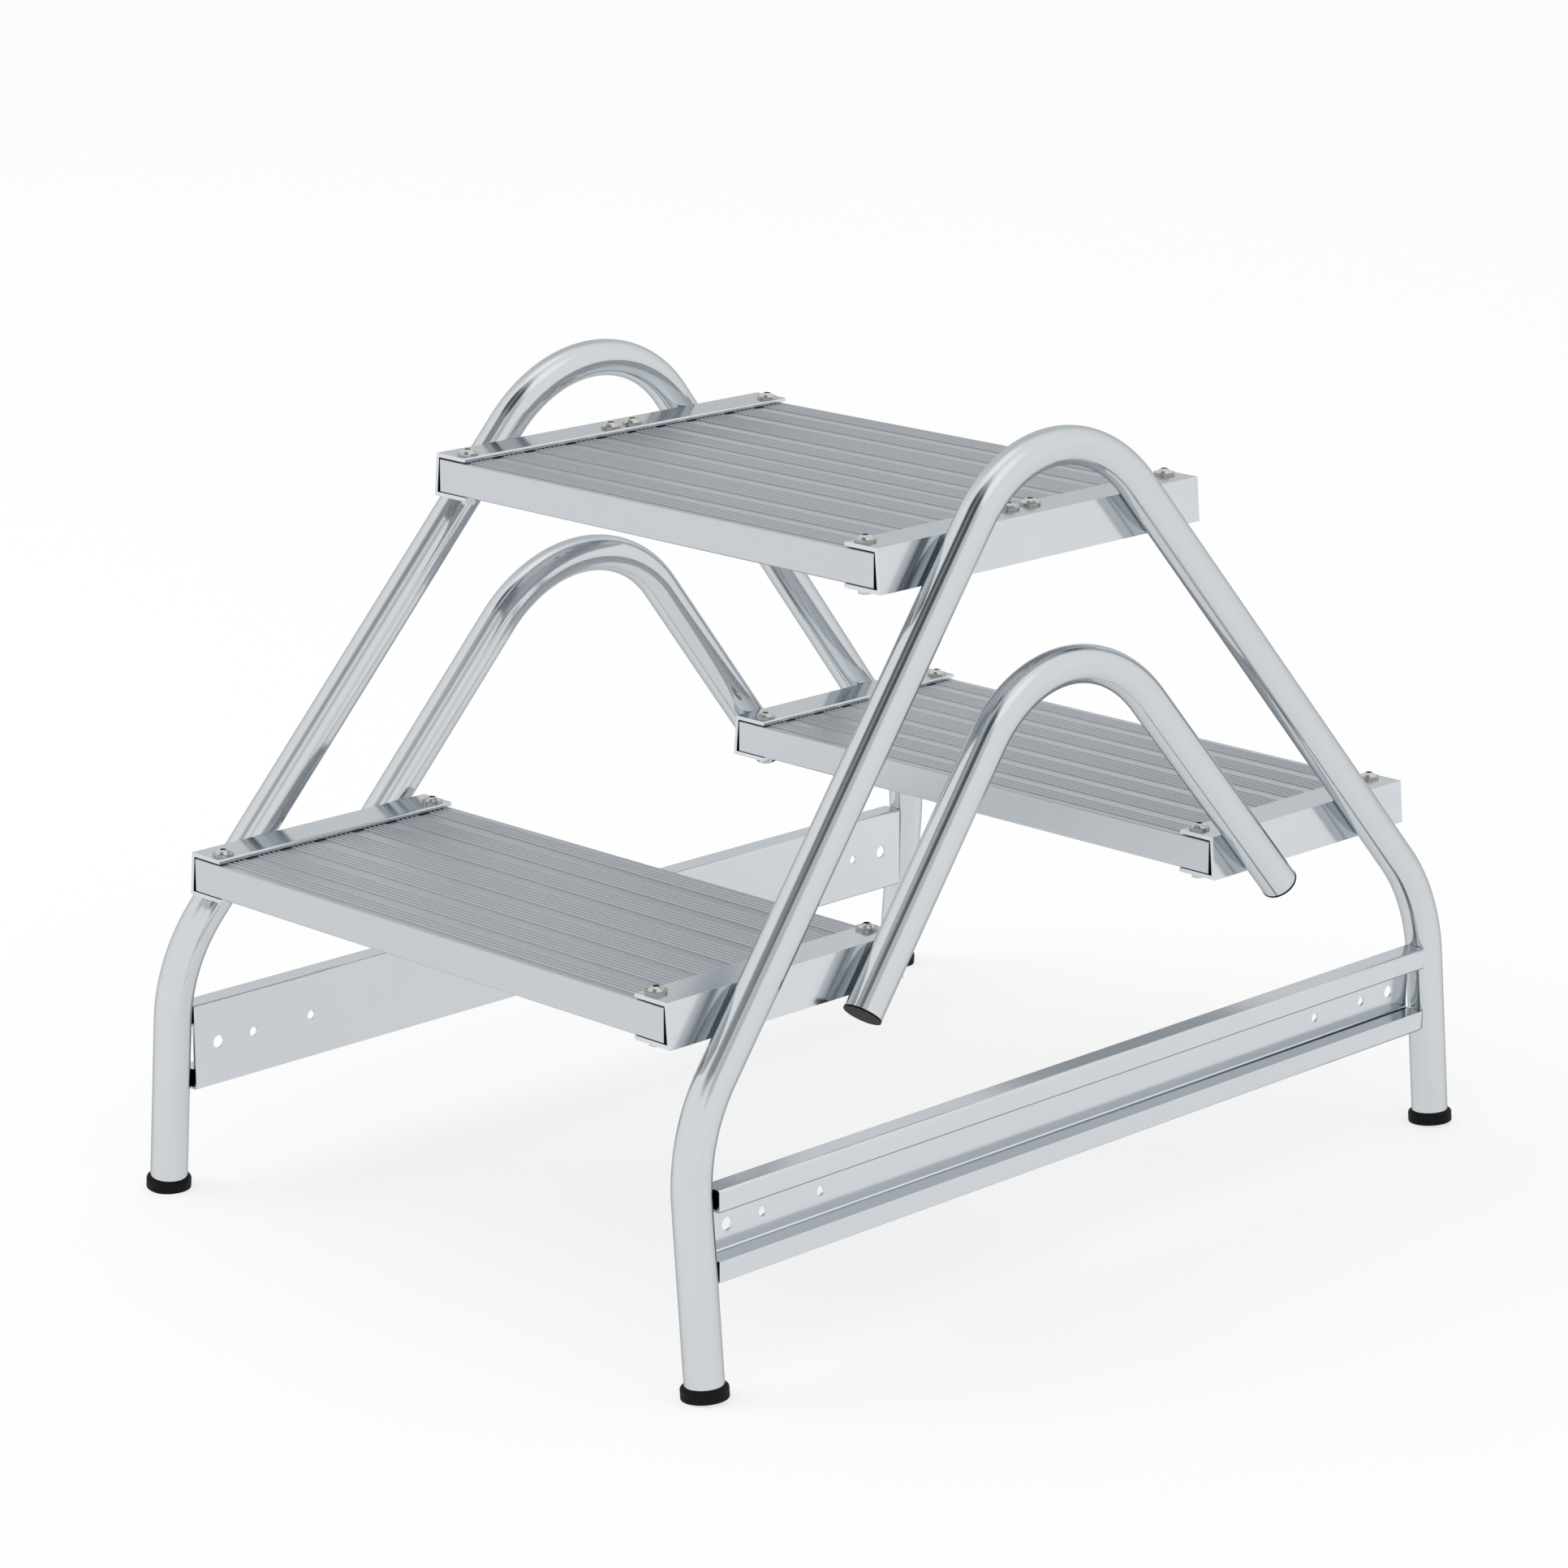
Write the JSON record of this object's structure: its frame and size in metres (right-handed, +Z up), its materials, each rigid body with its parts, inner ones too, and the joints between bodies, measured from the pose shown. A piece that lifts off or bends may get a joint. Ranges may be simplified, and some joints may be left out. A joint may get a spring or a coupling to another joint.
{
  "type": "double-sided work platform",
  "caption": "Low walk-through work platform in bright aluminium with ribbed treads, a step on either side, splayed tube frames with hand arches, and rubber feet.",
  "frame": {"origin": "on the floor, midway between the four feet", "axes": "+X along the treads, +Y in the walking direction over the steps, +Z up"},
  "size_m": [0.5462, 0.7334, 0.5355],
  "materials": {
    "tube_aluminium": "bright satin, drawn tube",
    "rail_aluminium": "satin, extruded",
    "bracket_aluminium": "satin, extruded",
    "tread_aluminium": "satin, extruded with grip ribs",
    "foot_rubber": "matt, moulded",
    "cap_plastic": "matt, moulded",
    "fastener_steel": "stainless, as turned"
  },
  "bodies": {
    "root": {"left_main_tube": "tube_aluminium", "right_main_tube": "tube_aluminium", "left_inner_tube": "tube_aluminium", "right_inner_tube": "tube_aluminium", "left_base_rail": "rail_aluminium", "right_base_rail": "rail_aluminium", "left_platform_bracket": "bracket_aluminium", "right_platform_bracket": "bracket_aluminium", "left_front_step_bracket": "bracket_aluminium", "right_front_step_bracket": "bracket_aluminium", "left_rear_step_bracket": "bracket_aluminium", "right_rear_step_bracket": "bracket_aluminium", "front_platform_tread": "tread_aluminium", "rear_platform_tread": "tread_aluminium", "front_step_tread": "tread_aluminium", "rear_step_tread": "tread_aluminium", "left_front_foot": "foot_rubber", "right_front_foot": "foot_rubber", "left_rear_foot": "foot_rubber", "right_rear_foot": "foot_rubber", "left_front_end_cap": "cap_plastic", "right_front_end_cap": "cap_plastic", "left_rear_end_cap": "cap_plastic", "right_rear_end_cap": "cap_plastic", "platform_screws": "fastener_steel", "platform_washers": "fastener_steel", "platform_nuts": "fastener_steel", "front_step_screws": "fastener_steel", "front_step_washers": "fastener_steel", "front_step_nuts": "fastener_steel", "rear_step_screws": "fastener_steel", "rear_step_washers": "fastener_steel", "rear_step_nuts": "fastener_steel"}
  },
  "joints": []
}
